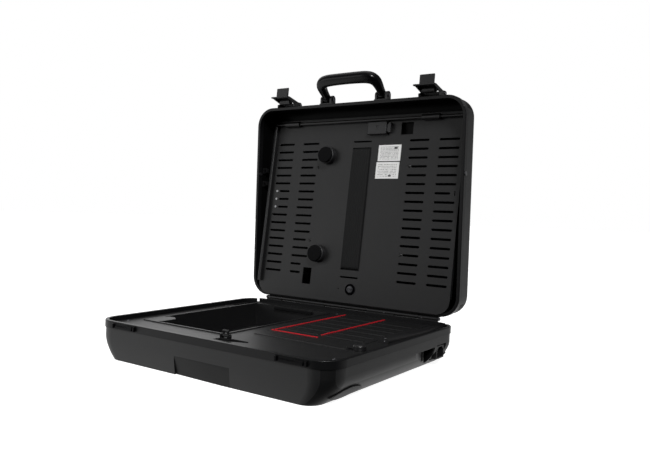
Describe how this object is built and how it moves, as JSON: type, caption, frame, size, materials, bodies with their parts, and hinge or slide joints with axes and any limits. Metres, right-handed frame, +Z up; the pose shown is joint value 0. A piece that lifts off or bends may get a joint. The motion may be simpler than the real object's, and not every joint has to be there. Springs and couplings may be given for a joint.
{
  "type": "equipment case",
  "caption": "Open hard-shell equipment case with a fitted base bay and tray, a slotted device panel in the lid, a carrying handle and two toggle latches.",
  "frame": {"origin": "centre of the base shell's flat underside", "axes": "+Z up, -Y the front with the latch catches, +X to the right seen from the front; lid stored open at 90 degrees"},
  "size_m": [0.4826, 0.4592, 0.5248],
  "materials": {
    "case_plastic": "fine textured black",
    "rim_plastic": "smooth satin black",
    "deck_plastic": "matte black",
    "panel_metal": "powder coated black",
    "rod_metal": "satin black",
    "latch_plastic": "satin black",
    "handle_gloss": "glossy black",
    "hinge_black": "satin black",
    "steel": "dark zinc",
    "bright_rivet": "bright",
    "red_line": "red",
    "webbing": "woven black",
    "foam": "matte foam",
    "bumper_rubber": "matte",
    "feet_rubber": "matte",
    "label_white": "printed label",
    "box_grey": "satin dark grey",
    "supply_metal": "black anodised"
  },
  "bodies": {
    "base": {"base_deck": "deck_plastic", "base_rim": "rim_plastic", "base_shell": "case_plastic", "bay_connector_block": "deck_plastic", "bay_corner_tab": "deck_plastic", "bay_foam_strip": "foam", "bay_tub": "deck_plastic", "clip_bracket": "latch_plastic", "clip_pin": "steel", "deck_screws": "steel", "hinge_base_leaf": "hinge_black", "hinge_base_screws": "steel", "hinge_pin": "steel", "hinge_pin_screws": "steel", "latch_catch_left": "rim_plastic", "latch_catch_right": "rim_plastic", "paper_tray": "deck_plastic", "power_inlet": "latch_plastic", "power_inlet_pins": "bright_rivet", "power_supply": "supply_metal", "rear_corner_bracket": "deck_plastic", "red_guide_strips": "red_line", "side_feet": "feet_rubber", "side_rail": "deck_plastic", "side_rail_screws": "steel"},
    "lid": {"lid_shell": "case_plastic", "lid_rim": "rim_plastic", "hinge_lid_leaf": "hinge_black", "hinge_lid_screws": "steel", "device_panel": "panel_metal", "panel_edge_lip": "panel_metal", "panel_rod": "rod_metal", "panel_rod_sleeves": "rod_metal", "panel_latch_box": "box_grey", "bumpers": "bumper_rubber", "bumper_pads": "foam", "holding_strap": "webbing", "label_upper": "label_white", "label_lower": "label_white", "panel_rivets": "bright_rivet", "panel_screws": "steel", "fastener_receptacle": "deck_plastic", "lid_side_rivets": "steel", "lid_cable_clips": "deck_plastic", "handle_bracket_left": "latch_plastic", "handle_bracket_right": "latch_plastic", "handle_pins": "steel", "latch_base_left": "latch_plastic", "latch_base_right": "latch_plastic", "latch_pin_left": "steel", "latch_pin_right": "steel"},
    "handle": {"handle_grip": "handle_gloss"},
    "latch_left": {"latch_lever_left": "latch_plastic"},
    "latch_right": {"latch_lever_right": "latch_plastic"},
    "panel_fastener": {"quarter_turn_fastener": "hinge_black"},
    "panel_slider": {"panel_latch_slider": "box_grey"},
    "clip": {"hold_down_clip": "latch_plastic"},
    "tray_button": {"tray_cam_latch": "latch_plastic"}
  },
  "joints": [
    {"name": "lid_hinge", "type": "hinge", "parent": "base", "child": "lid", "pos_m": [0, 0.20475, 0.06825], "axis": [1, 0, 0], "range_deg": [0, 90]},
    {"name": "handle_swing", "type": "hinge", "parent": "lid", "child": "handle", "pos_m": [0, 0.211, 0.483], "axis": [1, 0, 0], "range_deg": [-133, 40]},
    {"name": "latch_left_swing", "type": "hinge", "parent": "lid", "child": "latch_left", "pos_m": [-0.166, 0.224, 0.48], "axis": [1, 0, 0], "range_deg": [-95, 10]},
    {"name": "latch_right_swing", "type": "hinge", "parent": "lid", "child": "latch_right", "pos_m": [0.166, 0.224, 0.48], "axis": [1, 0, 0], "range_deg": [-95, 10]},
    {"name": "panel_fastener_turn", "type": "hinge", "parent": "lid", "child": "panel_fastener", "pos_m": [0.011, 0.20056, 0.104], "axis": [0, 0.9914, -0.1305], "range_deg": [0, 90]},
    {"name": "panel_slider_press", "type": "slide", "parent": "lid", "child": "panel_slider", "axis": [1, 0, 0], "range_m": [-0.0035, 0], "stiffness_N_per_m": 200, "springref_m": 0.002},
    {"name": "hold_down_clip_swing", "type": "hinge", "parent": "base", "child": "clip", "pos_m": [0.005, -0.1435, 0.06], "axis": [1, 0, 0], "range_deg": [-78, 0]},
    {"name": "tray_button_turn", "type": "hinge", "parent": "base", "child": "tray_button", "pos_m": [0.205, -0.074, 0.06], "axis": [0, 0, 1], "range_deg": [-90, 90]}
  ]
}
